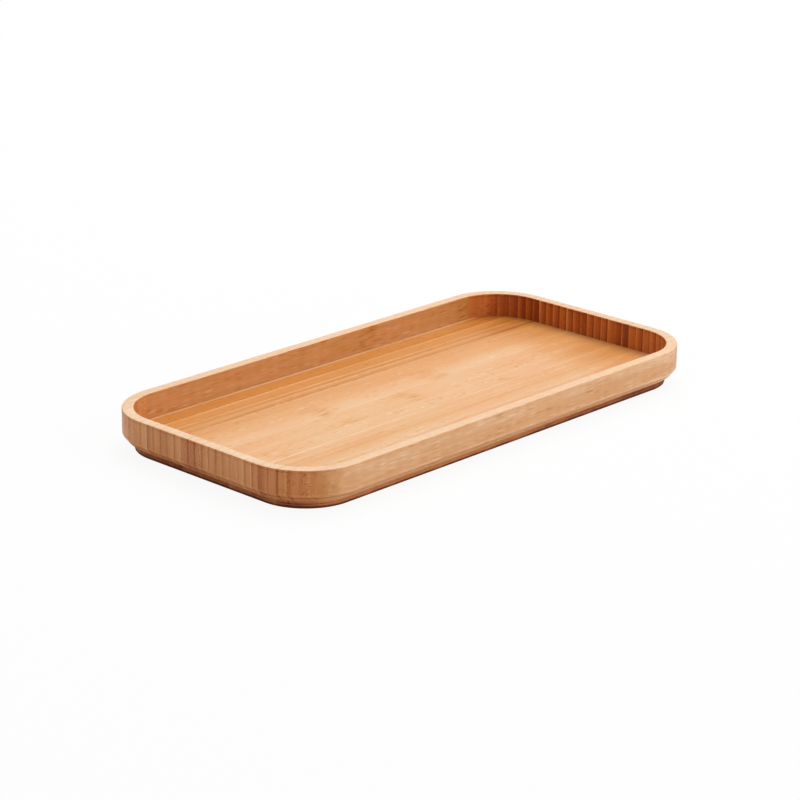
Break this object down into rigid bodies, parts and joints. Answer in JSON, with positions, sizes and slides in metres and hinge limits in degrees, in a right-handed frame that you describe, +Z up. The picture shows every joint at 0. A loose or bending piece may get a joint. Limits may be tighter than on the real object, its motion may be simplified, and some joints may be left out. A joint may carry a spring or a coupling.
{
  "type": "serving tray",
  "caption": "Shallow rounded-rectangle serving tray of laminated bamboo strips, with a low rim, a flat floor and an inset foot for stacking.",
  "frame": {"origin": "centre of the tray's underside, on the surface that it stands on", "axes": "+X along the tray's length and the bamboo's grain, +Z up; the tray is alike at both ends and both long sides"},
  "size_m": [0.35, 0.1756, 0.0249],
  "materials": {
    "rail_bamboo": "satin",
    "end_bamboo": "satin",
    "floor_bamboo": "satin",
    "foot_bamboo": "satin"
  },
  "bodies": {
    "root": {"front_rail": "rail_bamboo", "back_rail": "rail_bamboo", "left_end_block_01": "end_bamboo", "left_end_block_02": "end_bamboo", "left_end_block_03": "end_bamboo", "left_end_block_04": "end_bamboo", "left_end_block_05": "end_bamboo", "left_end_block_06": "end_bamboo", "left_end_block_07": "end_bamboo", "left_end_block_08": "end_bamboo", "left_end_block_09": "end_bamboo", "left_end_block_10": "end_bamboo", "left_end_block_11": "end_bamboo", "left_end_block_12": "end_bamboo", "left_end_block_13": "end_bamboo", "left_end_block_14": "end_bamboo", "right_end_block_01": "end_bamboo", "right_end_block_02": "end_bamboo", "right_end_block_03": "end_bamboo", "right_end_block_04": "end_bamboo", "right_end_block_05": "end_bamboo", "right_end_block_06": "end_bamboo", "right_end_block_07": "end_bamboo", "right_end_block_08": "end_bamboo", "right_end_block_09": "end_bamboo", "right_end_block_10": "end_bamboo", "right_end_block_11": "end_bamboo", "right_end_block_12": "end_bamboo", "right_end_block_13": "end_bamboo", "right_end_block_14": "end_bamboo", "floor_strip_01": "floor_bamboo", "floor_strip_02": "floor_bamboo", "floor_strip_03": "floor_bamboo", "floor_strip_04": "floor_bamboo", "floor_strip_05": "floor_bamboo", "floor_strip_06": "floor_bamboo", "floor_strip_07": "floor_bamboo", "floor_strip_08": "floor_bamboo", "floor_strip_09": "floor_bamboo", "foot_strip_01": "foot_bamboo", "foot_strip_02": "foot_bamboo", "foot_strip_03": "foot_bamboo", "foot_strip_04": "foot_bamboo", "foot_strip_05": "foot_bamboo", "foot_strip_06": "foot_bamboo", "foot_strip_07": "foot_bamboo", "foot_strip_08": "foot_bamboo", "foot_strip_09": "foot_bamboo", "foot_strip_10": "foot_bamboo"}
  },
  "joints": []
}
